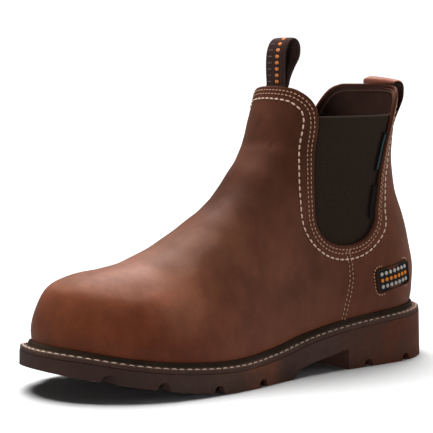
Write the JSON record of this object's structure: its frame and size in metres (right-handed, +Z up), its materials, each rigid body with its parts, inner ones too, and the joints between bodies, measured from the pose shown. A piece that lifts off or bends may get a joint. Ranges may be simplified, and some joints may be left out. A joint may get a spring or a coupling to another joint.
{
  "type": "side gore work boot",
  "caption": "Ankle-high pull-on work boot, left foot, with elastic side gores, pull loops at front and back, stitched welt and lugged rubber sole with heel.",
  "frame": {"origin": "on the floor, on the flat underside of the heel, 40 mm ahead of the back of the upper's heel", "axes": "+Z up, -Y towards the toe, +X towards the outer side of the left foot"},
  "size_m": [0.1205, 0.3109, 0.2231],
  "materials": {
    "sole_rubber": "matt, dark brown",
    "welt_leather": "matt, grey brown",
    "sock_lining": "soft, dark brown",
    "upper_leather": "waxed, red brown",
    "gore_elastic": "ribbed, near black",
    "patch": "matt, black",
    "webbing": "woven, black"
  },
  "bodies": {
    "root": {"outsole": "sole_rubber", "welt": "welt_leather", "insole": "sock_lining", "upper": "upper_leather", "gore_lateral": "gore_elastic", "gore_medial": "gore_elastic", "heel_badge": "patch", "pull_loop_front": "webbing", "pull_loop_rear": "upper_leather"}
  },
  "joints": []
}
